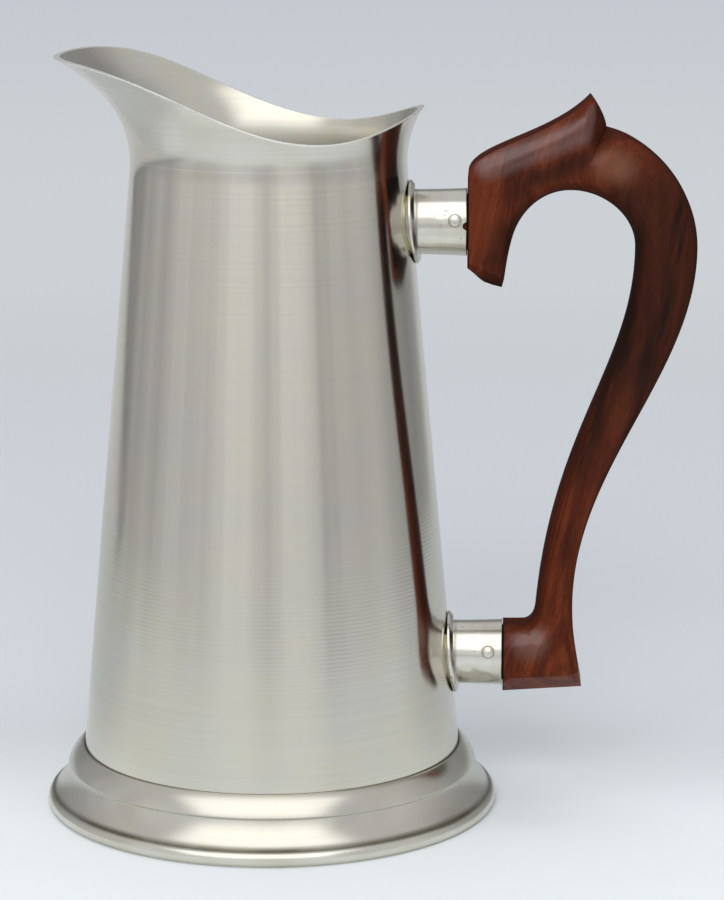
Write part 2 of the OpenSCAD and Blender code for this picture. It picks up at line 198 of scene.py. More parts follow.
def pewter(name, look, stainAndShade=None):
    material, sheet = newMaterial(name)
    here = sheet.place()
    x, y, z = sheet.split(here)
    radius = (x * x + y * y) ** 0.5
    long, fine = look["lineLength"], look["lineFine"]
    if look["turnedAlong"] == "z":
        lines = sheet.join(radius * fine + x * long, y * long, z * fine)
    else:
        lines = sheet.join(x * fine, y * long, z * long)
    brushed = sheet.noise(lines, 1.0, 3.0, 0.6)
    cloud = sheet.noise(here, look["cloudScale"], 3.0, 0.55)
    spots = sheet.noise(here, look["pitScale"], 1.0, 0.4)
    pits = spots.step(look["pitFrom"], look["pitFrom"] + look["pitSoft"])
    warm = cloud.step(*look["cloudBand"])
    tone = sheet.mix(warm, look["tint"], look["warmTint"])
    if "fade" in look:  # runs into the drum's colour below
        below = sheet.mix(warm, pewterLook["tint"], pewterLook["warmTint"])
        tone = sheet.mix(z.step(*look["fade"]), below, tone)
    tone = sheet.mix(brushed.step(*look["lineBand"]) * look["lineTone"], tone, look["lineTint"])
    tone = sheet.mix(pits * look["pitTone"], tone, look["pitTint"])
    rough = look["roughness"] + (brushed - 0.5) * look["lineRough"] + (cloud - 0.5) * look["cloudRough"]
    rough = rough + pits * look["pitRough"]
    if "dull" in look:  # less polished further down
        low, high, more = look["dull"]
        rough = rough + (1 - z.step(low, high)) * more
    # the mask holds dirt on the fittings, painted shadow and a darker band on the foot, and a darker top on
    # the wire
    if stainAndShade:
        darkening = stainAndShade((x, y, z), radius, cloud)
        tone = sheet.mix(darkening, tone, look["dirtAndShadeTint"])
        rough = rough + darkening * look["dirtRough"]
    height = brushed * look["lineDepth"] - pits * look["pitDepth"] + cloud * look["waviness"]
    if "chatter" in look:
        height = height + chatterMarks(sheet, look["chatter"], x, y, z)
    if "seam" in look:
        seam = look["seam"]
        line = z.bell(seam["at"], seam["width"])
        tone = sheet.mix(line * seam["share"], tone, seam["tint"])
        height = height + line * seam["depth"]
    finishMaterial(sheet, height, {
        "Base Color": tone,
        "Metallic": 1.0,
        "Roughness": rough.clamp(),
        "Anisotropic": look["anisotropy"],
        "Anisotropic Rotation": look["anisotropyTurn"],
    })
    return material


# Fine rings that the turning tool left on part of the drum
def chatterMarks(sheet, marks, x, y, z):
    def uneven(scale, detail):
        wide, tall = scale
        return sheet.noise(sheet.join(x * wide, y * wide, z * tall), 1.0, detail)

    turns = z * (2 * math.pi / marks["pitch"]) + uneven(marks["driftScale"], 2.0) * marks["drift"]
    wave = turns.maths("SINE", turns)
    patch = uneven(marks["patchScale"], 1.0).step(*marks["patchBand"])
    band = z.bell(marks["middle"], marks["reach"])
    return wave * band * (marks["least"] + patch) * marks["depth"]


print("finishes ready")


# Profiles: corners in the radius and height plane, some of them rounded
def arcPoints(centre, r, start, end, steps):
    turn = np.radians(np.linspace(start, end, steps + 1))
    return [(centre[0] + r * math.cos(t), centre[1] + r * math.sin(t)) for t in turn]


def roundedLoop(corners, steps=6):
    points = []
    count = len(corners)
    for i, (cx, cz, r) in enumerate(corners):
        here = np.array([cx, cz])
        if r == 0:
            points.append((cx, cz))
            continue
        before = np.array(corners[i - 1][:2]) - here
        after = np.array(corners[(i + 1) % count][:2]) - here
        before = before / np.linalg.norm(before)
        after = after / np.linalg.norm(after)
        half = math.acos(np.clip(before @ after, -1, 1)) / 2
        reach = r / math.tan(half)
        start, end = here + before * reach, here + after * reach
        for t in np.linspace(0, 1, steps + 1):  # a quadratic curve through the corner
            points.append(tuple((1 - t) ** 2 * start + 2 * t * (1 - t) * here + t * t * end))
    return points


def heldLoop(points, hold=0.35, longest=4.0):
    # extra points beside the ends of long runs keep their shading flat
    held = []
    for i, here in enumerate(points):
        there = points[(i + 1) % len(points)]
        run = math.dist(here, there)
        held.append(here)
        if run > 3 * hold:
            inner = max(1, int(run / longest))
            shares = [hold / run, *[k / inner for k in range(1, inner)], 1 - hold / run]
            for share in shares:
                held.append(tuple(np.array(here) + (np.array(there) - np.array(here)) * share))
    return held


# Geometry Nodes: turns a profile about Z
def buildTurnTree():
    tree = bpy.data.node_groups.new("turnedPiece", "GeometryNodeTree")
    for name, kind in (("Profile", "Geometry"), ("Segments", "Int"), ("Finish", "Material")):
        tree.interface.new_socket(name, in_out="INPUT", socket_type="NodeSocket" + kind)
    tree.interface.new_socket("Piece", in_out="OUTPUT", socket_type="NodeSocketGeometry")
    sheet = Sheet(tree)
    given = sheet.add("NodeGroupInput").socket.node.outputs
    profile, segments, finish = [Wire(sheet, given[name]) for name in ("Profile", "Segments", "Finish")]
    rows = sheet.add("GeometryNodeAttributeDomainSize", {"component": "MESH"}, {"Geometry": profile})
    grid = sheet.add("GeometryNodeMeshGrid", {}, {"Vertices X": rows, "Vertices Y": segments + 1})
    index = sheet.add("GeometryNodeInputIndex")
    row = index.maths("FLOOR", (index + 0.5) / (segments + 1))
    column = index - row * (segments + 1)
    place = sheet.add("GeometryNodeInputPosition")
    settings = {"data_type": "FLOAT_VECTOR", "domain": "POINT"}
    values = {"Geometry": profile, "Value": place, "Index": row}
    reach, _, height = sheet.split(sheet.add("GeometryNodeSampleIndex", settings, values))
    turn = column / segments * (2 * math.pi)
    spot = sheet.join(reach * turn.maths("COSINE", turn), reach * turn.maths("SINE", turn), height)
    wall = sheet.add("GeometryNodeSetPosition", {}, {"Geometry": grid, "Position": spot})
    wall = sheet.add("GeometryNodeMergeByDistance", {}, {"Geometry": wall, "Distance": 1e-6})
    wall = sheet.add("GeometryNodeSetShadeSmooth", {}, {"Geometry": wall})
    wall = sheet.add("GeometryNodeRealizeInstances", {}, {"Geometry": wall})
    wall = sheet.add("GeometryNodeSetMaterial", {}, {"Geometry": wall, "Material": finish})
    sheet.add("NodeGroupOutput", {}, {"Piece": wall})
    return tree


def setInput(modifier, name, value):
    for item in modifier.node_group.interface.items_tree:
        if item.item_type == "SOCKET" and item.in_out == "INPUT" and item.name == name:
            modifier[item.identifier] = value


def settle(mesh, sharp=40):
    # merge, turn faces outwards and keep only real corners sharp
    work = bmesh.new()
    work.from_mesh(mesh)
    bmesh.ops.remove_doubles(work, verts=work.verts, dist=1e-6)
    bmesh.ops.dissolve_degenerate(work, edges=work.edges, dist=1e-7)
    bmesh.ops.recalc_face_normals(work, faces=work.faces)
    work.to_mesh(mesh)
    work.free()
    mesh.shade_smooth()
    mesh.set_sharp_from_angle(angle=math.radians(sharp))


def addPiece(name, mesh, nodes):
    piece = bpy.data.objects.new(name, mesh)
    scene.collection.objects.link(piece)
    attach(piece, "root")
    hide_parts(*nodes)
    return piece


turnTree = buildTurnTree()


def turned(name, points, segments, finish, place=None):
    # points are (radius, height) in millimetres and make a closed loop
    loop = [(r * mm, 0.0, h * mm) for r, h in [*points, points[0]]]
    profile = bpy.data.meshes.new(name + "Profile")
    profile.from_pydata(loop, [(i, i + 1) for i in range(len(loop) - 1)], [])
    carrier = bpy.data.objects.new(name + "Profile", profile)
    scene.collection.objects.link(carrier)
    modifier = carrier.modifiers.new("turn", "NODES")
    modifier.node_group = turnTree
    setInput(modifier, "Segments", segments)
    setInput(modifier, "Finish", finish)
    settled = carrier.evaluated_get(bpy.context.evaluated_depsgraph_get())
    mesh = bpy.data.meshes.new_from_object(settled)
    mesh.name = name
    bpy.data.objects.remove(carrier)
    if place is not None:
        mesh.transform(place)
    settle(mesh)
    return mesh


# Rings of points joined into a wall, open or closed at the ends
def ringMesh(name, rings, finish, closed=False, capped=False, sharp=40):
    count, sides = rings.shape[:2]
    faces = []
    for k in range(count if closed else count - 1):
        low, high = k * sides, ((k + 1) % count) * sides
        faces += [(low + i, low + (i + 1) % sides, high + (i + 1) % sides, high + i) for i in range(sides)]
    if capped:
        faces.append(tuple(range(sides)))
        faces.append(tuple((count - 1) * sides + i for i in range(sides)))
    mesh = bpy.data.meshes.new(name)
    mesh.from_pydata((rings.reshape(-1, 3) * mm).tolist(), [], faces)
    mesh.materials.append(finish)
    settle(mesh, sharp)
    return mesh


# Sizes that several pieces share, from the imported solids
def boxMm(node):
    low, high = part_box(node)
    return np.array(low) / mm, np.array(high) / mm


drumBox = boxMm("drum")
jug = {
    "seatZ": drumBox[0][2],
    "neckZ": drumBox[1][2],
    "seatR": drumBox[1][0],
    "neckR": 39.8,
    "wall": 1.5,
    "lap": 3.0,
    "solder": 0.05,
}
taper = (jug["seatR"] - jug["neckR"]) / (jug["neckZ"] - jug["seatZ"])
lean = math.degrees(math.atan(taper))
tongue = jug["wall"] / 2


def drumR(z):
    return jug["seatR"] - taper * (z - jug["seatZ"])


# Drum
drumLook = varied(pewterLook, chatter={
    "pitch": 1.15 * mm,
    "drift": 5.0,
    "driftScale": (12, 30),  # per metre, across and up
    "patchScale": (18, 9),
    "patchBand": (0.35, 0.65),
    "least": 0.3,
    "middle": 0.070,
    "reach": 0.034,
    "depth": 2.4e-6,
})


def makeDrum():
    neckZ, seatZ, wall = jug["neckZ"], jug["seatZ"], jug["wall"]
    lapZ = neckZ - jug["lap"]
    corners = [
        (drumR(seatZ), seatZ, 0),
        (drumR(neckZ), neckZ, 0),
        (drumR(neckZ) - tongue, neckZ, 0),
        (drumR(lapZ) - tongue, lapZ, 0),
        (drumR(lapZ) - wall, lapZ, 0),
        (drumR(seatZ) - wall, seatZ, 0),
    ]
    mesh = turned("drum_wall", heldLoop(roundedLoop(corners)), 512, pewter("pewterDrum", drumLook))
    addPiece("drum_wall", mesh, ["drum"])


makeDrum()
print("drum turned")

# Lip: two bends out of the drum's slope, cut to the dip of the rim
lip = {
    "bendR": 29.0,
    "bendLean": 48.0,
    "endR": 70.0,
    "endLean": 4.0,  # degrees short of level
    "spoutZ": boxMm("lip_collar")[1][2],
    "rimLowZ": 198.2,
    "rimLowX": 18.5,
    "spoutRun": 75.5,
    "heelRun": 64.6,
    "rimWall": 1.1,  # the wall thins to this
    "thinning": 3,  # a power, most of it close to the rim
    "edge": 0.8,  # rounding of the rim outside
    "innerEdge": 0.2,
    "rubbedAndHighlight": 0.52,  # height of the painted highlight on the edge, outside and inside
    "highlightInside": 0.12,
    "sides": 512,
    "rows": 44,
    "crowding": 1.3,  # a power, closer rows at the rim
}
lipLook = varied(
    pewterLook, tint=(0.76, 0.735, 0.65), warmTint=(0.70, 0.67, 0.57),
    roughness=0.17, anisotropy=0.55, lineDepth=0.4e-6, cloudScale=70.0, fade=(190.5 * mm, 195 * mm),
    seam={"at": 190.8 * mm, "width": 0.4 * mm, "depth": 5e-6, "tint": (0.86, 0.85, 0.80), "share": 0.35},
)
lipInsideLook = varied(
    pewterLook, roughness=0.27, anisotropy=0.3, cloudScale=90.0, cloudRough=0.14, lineDepth=0.15e-6,
    waviness=3e-6, dull=(191.0 * mm, 197.0 * mm, 0.34),
)
rimHighlightLook = varied(  # near-white metal on the edge, a painted highlight
    pewterLook, tint=(0.97, 0.96, 0.92), warmTint=(0.93, 0.92, 0.86), roughness=0.5, anisotropy=0.0,
)


def lipProfile(inset):
    # angle of turn to point, and the whole turn, over both bends
    centre1 = np.array([jug["neckR"] + lip["bendR"] * math.cos(math.radians(lean)),
                        jug["neckZ"] + lip["bendR"] * math.sin(math.radians(lean))])
    away = math.radians(lip["bendLean"])
    centre2 = centre1 + (lip["endR"] - lip["bendR"]) * np.array([math.cos(away), -math.sin(away)])
    first = lean + lip["bendLean"]

    def point(turn):
        angle = np.radians(180 + lean - turn)
        near = turn <= first
        r = np.where(near, lip["bendR"], lip["endR"]) + inset
        cx = np.where(near, centre1[0], centre2[0])
        cz = np.where(near, centre1[1], centre2[1])
        return cx + r * np.cos(angle), cz + r * np.sin(angle)

    return point, 90 + lean - lip["endLean"]


def rimZ(x):
    low, high = lip["rimLowZ"], lip["spoutZ"]
    run = np.where(x < lip["rimLowX"], lip["spoutRun"], lip["heelRun"])
    return low + (high - low) * (1 - np.cos(np.pi * (x - lip["rimLowX"]) / run)) / 2


def rimTurn(point, most, side):
    # the turn at which the lip meets the rim's curve, found by halving
    low, high = np.zeros_like(side), np.full_like(side, most)
    for _ in range(50):
        middle = (low + high) / 2
        r, z = point(middle)
        under = z < rimZ(r * np.cos(side))
        low, high = np.where(under, middle, low), np.where(under, high, middle)
    return low


def softCorner(start, corner, end, steps=5):
    shares = np.linspace(0, 1, steps + 1)
    return [(1 - t) ** 2 * start + 2 * t * (1 - t) * corner + t * t * end for t in shares]


def makeLip():
    side = np.linspace(0, 2 * np.pi, lip["sides"], endpoint=False)
    shares = 1 - (1 - np.linspace(0, 1, lip["rows"])) ** lip["crowding"]
    walls = {}
    for label, inset, rimInset in (("out", 0.0, 0.0), ("in", jug["wall"], lip["rimWall"])):
        point, most = lipProfile(inset)
        rimPoint, most = lipProfile(rimInset)
        end, rimEnd = rimTurn(point, most, side), rimTurn(rimPoint, most, side)
        walls[label] = []
        for share in shares:
            wall, thin = np.stack(point(end * share)), np.stack(rimPoint(rimEnd * share))
            walls[label].append(wall + (thin - wall) * share ** lip["thinning"])
    outTop, inTop = walls["out"][-1], walls["in"][-1]
    across = (inTop - outTop) / np.linalg.norm(inTop - outTop, axis=0)
    outDown = walls["out"][-2] - outTop
    inDown = walls["in"][-2] - inTop
    edge, innerEdge = lip["edge"], lip["innerEdge"]
    outStart = outTop + outDown / np.linalg.norm(outDown, axis=0) * edge
    inStart = inTop + inDown / np.linalg.norm(inDown, axis=0) * innerEdge
    rows = list(walls["out"][:-2])
    rows += softCorner(outStart, outTop, outTop + across * edge)
    rows += softCorner(inTop - across * innerEdge, inTop, inStart)
    rows += walls["in"][-2::-1]

    # the tongue inside the drum's top
    neckZ, lapZ = jug["neckZ"], jug["neckZ"] - jug["lap"]
    tongueRows = [
        (drumR(lapZ) - jug["wall"], lapZ),
        (drumR(lapZ) - tongue - jug["solder"], lapZ),
        (jug["neckR"] - tongue - jug["solder"], neckZ),
    ]
    rows += [np.stack([np.full_like(side, r), np.full_like(side, z)]) for r, z in tongueRows]
    rings = np.array([np.stack([r * np.cos(side), r * np.sin(side), z], axis=1) for r, z in rows])
    mesh = ringMesh("lip_wall", rings, pewter("pewterLip", lipLook), closed=True)
    mesh.materials.append(pewter("pewterLipInside", lipInsideLook))
    mesh.materials.append(pewter("pewterRimHighlight", rimHighlightLook))
    for face in mesh.polygons:
        inward = face.normal.x * face.center.x + face.normal.y * face.center.y < 0
        belowRim = rimZ(face.center.x / mm) - face.center.z / mm
        # faces just under the rim carry the painted highlight
        if belowRim < lip["highlightInside" if inward else "rubbedAndHighlight"]:
            face.material_index = 2
        elif inward and face.center.z > neckZ * mm:
            face.material_index = 1
    addPiece("lip_wall", mesh, ["lip_collar"])


makeLip()
print("lip spun")

# Floor plate, a disc with a flange turned down
floorPlate = {"wall": 1.5, "flange": 4.5, "bend": 0.5, "edge": 0.3}
floorLook = varied(pewterLook, roughness=0.36, anisotropy=0.4)


def makeFloorPlate():
    seatZ, wall = jug["seatZ"], floorPlate["wall"]
    topZ = seatZ + floorPlate["flange"] + wall
    lowR = drumR(seatZ) - jug["wall"] - jug["solder"]
    topR = drumR(topZ) - jug["wall"] - jug["solder"]
    corners = [
        (0, topZ, 0),
        (0, topZ - wall, 0),
        (lowR - 2 * wall, topZ - wall, floorPlate["bend"]),
        (lowR - wall, seatZ, 0),
        (lowR, seatZ, 0),
        (topR, topZ, floorPlate["edge"]),
    ]
    mesh = turned("floor_disc", heldLoop(roundedLoop(corners)), 256, pewter("pewterFloor", floorLook))
    addPiece("floor_disc", mesh, ["floor_plate"])


makeFloorPlate()

# Foot: rounded shoulder, undercut, hollow cove, seat inside, and the wire under its edge
foot = {
    "edge": 0.8,
    "seamEdge": 0.15,  # chamfer beside the drum
    "shoulderOut": 4.9,
    "shoulderH": 5.6,
    "shoulderTurn": 34.0,
    "shoulderEdge": [(-0.02, -0.15), (-0.17, -0.3)],  # steps under it, out and down
    "undercut": 0.2,
    "undercutH": 0.5,
    "coveOut": 4.2,
    "coveTurn": 32.0,
    "coveEdge": 0.5,
    "toe": (0.1, -0.25),  # below the cove's end
    "wall": 1.2,
    "underShort": 3.0,  # degrees that the inner face ends before the cove
    "seatW": 3.4,
    "wireD": 4.8,
    "wireFlat": 0.3,
    "wireInset": 0.3,
    "wireSeat": (72, 100),  # degrees round the wire that the skirt rests on
    "wireDark": (1.7, 2.4),  # above the wire's middle
    "sides": 512,
}
footShadeAndBand = {  # in millimetres, with a share
    # painted shadow beside the drum
    "seam": (0.1, 0.9, 0.8),  # from and to, outside the drum
    # a darker band above the wire
    "aboveWire": (0.4, 1.2, 0.85),  # drop and width
    # painted shadow in the undercut
    "groove": (0.3, 0.5, 0.3),
}
footLook = varied(
    pewterLook, tint=(0.65, 0.63, 0.555), warmTint=(0.66, 0.63, 0.53),
    roughness=0.25, anisotropy=0.6, cloudScale=60.0, pitFrom=0.92, waviness=9e-6,
)
wireLook = varied(footLook, tint=(0.73, 0.71, 0.63), roughness=0.24, anisotropy=0.3)

footTopZ = boxMm("foot_skirt")[1][2]
drumEdge = drumR(footTopZ)
shoulderTop = (drumEdge + foot["edge"], footTopZ)
shoulderFoot = (drumEdge + foot["shoulderOut"], footTopZ - foot["shoulderH"])
coveTop = (shoulderFoot[0] - foot["undercut"], shoulderFoot[1] - foot["undercutH"])
coveFoot = (coveTop[0] + foot["coveOut"], foot["wireD"] - foot["wireFlat"] + foot["coveEdge"])
wireAt = (coveFoot[0] - foot["wireInset"], foot["wireD"] / 2 - foot["wireFlat"])


def chordArc(start, end, turn, hollow):
    # an arc between two points of a profile, bulging outwards or hollowed
    run, drop = end[0] - start[0], start[1] - end[1]
    middle = math.degrees(math.atan2(run, drop))
    r = math.hypot(run, drop) / (2 * math.sin(math.radians(turn / 2)))
    first = middle - turn / 2 if hollow else middle + turn / 2
    way = np.array([math.cos(math.radians(first)), math.sin(math.radians(first))])
    centre = np.array(start) + (r if hollow else -r) * way
    return centre, r, first


# painted shadow beside the drum's edge and in the undercut, and a darker band above the wire
def footShadeAndBandMask(place, radius, cloud):
    z = place[2]
    start, end, share = footShadeAndBand["seam"]
    dark = (1 - radius.step((drumEdge + start) * mm, (drumEdge + end) * mm)) * share
    for key, level in (("aboveWire", coveFoot[1]), ("groove", shoulderFoot[1])):
        drop, width, share = footShadeAndBand[key]
        dark = dark + z.bell((level - drop) * mm, width * mm) * share
    return (dark * (0.55 + cloud * 0.8)).clamp()


# darker over the top of the wire, under the cove's end
def wireTopDarkening(place, radius, cloud):
    start, end = foot["wireDark"]
    return (place[2].step((wireAt[1] + start) * mm, (wireAt[1] + end) * mm) * (0.3 + cloud)).clamp()


def makeFoot():
    solder, wall, seatZ = jug["solder"], foot["wall"], jug["seatZ"]
    points = [(drumEdge + solder, footTopZ - foot["seamEdge"]), (drumEdge + foot["seamEdge"], footTopZ)]
    centre, r, first = chordArc(shoulderTop, shoulderFoot, foot["shoulderTurn"], False)
    points += arcPoints(centre, r, first, first - foot["shoulderTurn"], 20)
    points += [(shoulderFoot[0] + out, shoulderFoot[1] + down) for out, down in foot["shoulderEdge"]]
    centre, r, first = chordArc(coveTop, coveFoot, foot["coveTurn"], True)
    coveEnd = 180 + first + foot["coveTurn"]
    points += arcPoints(centre, r, 180 + first, coveEnd, 26)
    points.append((coveFoot[0] + foot["toe"][0], coveFoot[1] + foot["toe"][1]))
    points += arcPoints(wireAt, foot["wireD"] / 2 + solder, *foot["wireSeat"], 6)
    underZ = seatZ - wall
    underTurn = math.degrees(math.asin((centre[1] - underZ) / (r + wall)))
    points += arcPoints(centre, r + wall, coveEnd - foot["underShort"], 180 + underTurn, 16)
    seatIn = drumR(seatZ) - foot["seatW"]
    points += [(seatIn, underZ), (seatIn, seatZ), (drumR(seatZ) + solder, seatZ)]
    finish = pewter("pewterFoot", footLook, footShadeAndBandMask)
    mesh = turned("foot_wall", heldLoop(points), foot["sides"], finish)
    addPiece("foot_wall", mesh, ["foot_skirt"])


def makeWire():
    r = foot["wireD"] / 2
    flat = math.degrees(math.acos(wireAt[1] / r))
    ring = arcPoints(wireAt, r, -90 + flat, 270 - flat, 40)
    mesh = turned("foot_wire", ring, foot["sides"], pewter("pewterWire", wireLook, wireTopDarkening))
    addPiece("foot_wire", mesh, ["foot_rim_wire"])


makeFoot()
makeWire()
print("foot turned")

# Sockets: flared tubes filed to the drum, with small dents, and a ring round each
sockets = {
    "r": 9.3,
    "flare": 0.4,
    "wall": 1.1,
    "edge": 0.22,
    "notched": "upper",
    "notchR": 1.1,
    "sides": 256,
    "rows": 34,
    "boreRows": (0.9, 0.7, 0.4, 0.0),  # shares of the length
    "dents": {  # turn about the axis in degrees, distance from the drum, size, depth
        "upper": [
            (160, 9.0, 1.6, 0.10), (205, 6.0, 2.0, 0.12), (150, 4.5, 1.2, 0.08), (60, 8.0, 2.5, 0.15),
        ],
        "lower": [
            (196, 6.0, 1.7, 0.16), (214, 9.5, 1.2, 0.10), (150, 8.0, 2.0, 0.08), (30, 7.0, 2.2, 0.12),
        ],
    },
}
ringShape = {
    "tall": 2.7,
    "edgeW": 0.75,
    "front": 1.5,
    "bevelW": 0.9,
    "nose": 0.25,
    "bent": 0.45,  # how closely it follows the drum's curve, the back follows it fully
    "clear": 0.12,
    "backEdge": (0.05, 0.8),  # forward and in from the tall edge
}
pins = {
    "shank": 1.1,
    "head": 1.6,
    "headH": 0.5,
    "slant": {"upper": 9.5, "lower": 14.0},  # degrees, lifts the front head
    "inset": {"upper": 3.4, "lower": 4.1},  # from the mouth
    "sides": 48,
}
fittingLook = varied(
    pewterLook, tint=(0.74, 0.72, 0.645), warmTint=(0.69, 0.655, 0.55),
    turnedAlong="x", roughness=0.19, anisotropy=0.0, cloudScale=120.0, cloudRough=0.14,
    pitScale=700.0, pitFrom=0.74, lineFine=900.0, lineLength=60.0, waviness=14e-6,
)
pinLook = varied(fittingLook, roughness=0.30, pitFrom=0.7)
fittingDirt = {  # widths in millimetres and shares
    "head": (1.75, 0.4, 0.9),  # radius about the pin first
    "mouth": (0.5, 0.5),
    "ring": (0.2, 0.7, 0.7),  # behind the ring's front first
    "reach": 20.0,  # each end keeps to its own socket
    "scratchAt": (-5.9, 4.2),  # from the upper mouth
    "scratch": (1.7, 0.16, 1.5),
}


def mouthOf(end):
    low, high = boxMm(end + "_socket")
    return np.array([high[0], (low[2] + high[2]) / 2])


def drumX(y, z):
    return np.sqrt(np.maximum(drumR(z) ** 2 - y * y, 0))


# dirt round each pin's head, beside the ring and along the mouth, and one scratch
def fittingStain(place, radius, cloud):
    x, y, z = place
    darkening = 0.0
    for end in ("upper", "lower"):
        mouth = mouthOf(end)
        pinX, axisZ = (mouth[0] - pins["inset"][end]) * mm, mouth[1] * mm
        headZ = axisZ - y * math.tan(math.radians(pins["slant"][end]))
        away = ((x - pinX) ** 2.0 + (z - headZ) ** 2.0) ** 0.5
        r, width, share = fittingDirt["head"]
        darkening = darkening + away.bell(r * mm, width * mm) * share
        width, share = fittingDirt["mouth"]
        along = x.bell(mouth[0] * mm, width * mm) * share
        behind, width, share = fittingDirt["ring"]
        front = drumR(mouth[1]) + ringShape["edgeW"] + ringShape["bevelW"]
        along = along + x.bell((front - behind) * mm, width * mm) * share
        darkening = darkening + along * z.bell(axisZ, fittingDirt["reach"] * mm)
    atX, atZ = mouthOf("upper") + fittingDirt["scratchAt"]
    long, wide, share = fittingDirt["scratch"]
    scratch = z.bell(atZ * mm, wide * mm) * x.bell(atX * mm, long * mm)
    darkening = darkening + scratch * (1 - y.step(-1 * mm, 1 * mm)) * share  # on the near side only
    return (darkening * (0.3 + cloud)).clamp()


def makeSocket(end, finish):
    mouth = mouthOf(end)
    length = mouth[0] - drumR(mouth[1])
    around = np.linspace(0, 2 * np.pi, sockets["sides"], endpoint=False)
    bore, mouthR = sockets["r"] - sockets["wall"], sockets["r"] + sockets["flare"]
    edge = sockets["edge"]
    shares = [0.0, *np.linspace(0.05, 0.95, sockets["rows"])]
    profile = [(s * length, sockets["r"] + sockets["flare"] * s * s) for s in shares]
    mouthOut, mouthIn = np.array([length, mouthR]), np.array([length, bore])
    profile += softCorner(mouthOut - [edge, 0], mouthOut, mouthOut - [0, edge])
    profile += softCorner(mouthIn + [0, edge], mouthIn, mouthIn - [edge, 0])
    profile += [(length * s, bore) for s in sockets["boreRows"]]
    rings = []
    for along, r in profile:
        radius = np.full_like(around, r)
        outside = r > bore + sockets["wall"] / 2
        for turn, place, size, depth in sockets["dents"][end]:  # shallow knocks
            gap = np.hypot(np.angle(np.exp(1j * (around - math.radians(turn)))) * r, along - place)
            radius = radius - depth * np.exp(-(gap / size) ** 2) * outside
        y, z = radius * np.cos(around), mouth[1] + radius * np.sin(around)
        start = drumX(y, z) + jug["solder"]
        far = np.full_like(around, mouth[0])
        if end == sockets["notched"]:  # half-round nick in the mouth, on the side of the camera
            reach = (around - math.pi) * r
            far = far - np.sqrt(np.maximum(sockets["notchR"] ** 2 - reach ** 2, 0))
        x = start + (far - start) * (along / length)
        rings.append(np.stack([x, y, z], axis=1))
    name = end + "_socket_tube"
    mesh = ringMesh(name, np.array(rings), finish, closed=True)
    addPiece(name, mesh, [end + "_socket"])


def makeRing(end, finish):
    mouth = mouthOf(end)
    tilt = math.radians(lean)
    axis = np.array([math.cos(tilt), 0, math.sin(tilt)])
    upright = np.array([-math.sin(tilt), 0, math.cos(tilt)])
    centre = np.array([drumR(mouth[1]), 0, mouth[1]])
    around = np.linspace(0, 2 * np.pi, sockets["sides"], endpoint=False)
    spread = np.cos(around)[:, None] * np.array([0, 1, 0]) + np.sin(around)[:, None] * upright
    inside = sockets["r"] + jug["solder"] + ringShape["clear"]
    tallR, frontR = sockets["r"] + ringShape["tall"], sockets["r"] + ringShape["front"]
    edgeW, nose, bent = ringShape["edgeW"], ringShape["nose"], ringShape["bent"]
    forward, inwards = ringShape["backEdge"]
    front = edgeW + ringShape["bevelW"]
    # along the socket, radius, rounding, and how closely it follows the drum's curve
    corners = [
        (0.0, inside, 0, 1.0),
        (0.0, tallR - inwards, 0, 1.0),
        (forward, tallR, nose, bent),
        (edgeW, tallR, nose, bent),
        (front, frontR, nose, bent),
        (front, inside, 0, bent),
        (front / 2, inside, 0, bent),
    ]
    steps = 4
    path = roundedLoop([corner[:3] for corner in corners], steps)
    follow = [corner[3] for corner in corners for _ in range(steps + 1 if corner[2] else 1)]
    rings = []
    for (along, r), share in zip(path, follow):
        point = centre + r * spread + along * axis
        fall = drumR(point[:, 2]) - drumX(point[:, 1], point[:, 2])
        point[:, 0] += jug["solder"] - share * fall
        rings.append(point)
    name = end + "_ring"
    mesh = ringMesh(name, np.array(rings), finish, closed=True)
    addPiece(name, mesh, [end + "_socket_ring"])


# Pins through socket and tenon, a domed head each side
def makePin(end, finish):
    low, high = boxMm(end + "_pin")
    middle = (low + high) / 2
    mouth = mouthOf(end)
    length = mouth[0] - drumR(mouth[1])
    head, headH, shank = pins["head"], pins["headH"], pins["shank"]
    seat = sockets["r"] + sockets["flare"] * (1 - pins["inset"][end] / length) + jug["solder"]
    dome = (head ** 2 + headH ** 2) / (2 * headH)
    spread = math.degrees(math.asin(head / dome))
    top = arcPoints((0, seat + headH - dome), dome, 90, 90 - spread, 8)
    points = top + [(shank, seat), (shank, -seat)] + [(r, -h) for r, h in top[::-1]]
    lie = Matrix.Rotation(math.radians(90 - pins["slant"][end]), 4, "X")
    name = end + "_rivet"
    mesh = turned(name, points, pins["sides"], finish, Matrix.Translation(Vector(middle * mm)) @ lie)
    addPiece(name, mesh, [end + "_pin"])


fitting = pewter("pewterFittings", fittingLook, fittingStain)
pinMetal = pewter("pinMetal", pinLook)
for makeFitting, finish in ((makeSocket, fitting), (makeRing, fitting), (makePin, pinMetal)):
    for end in ("upper", "lower"):
        makeFitting(end, finish)
print("sockets, rings and pins made")


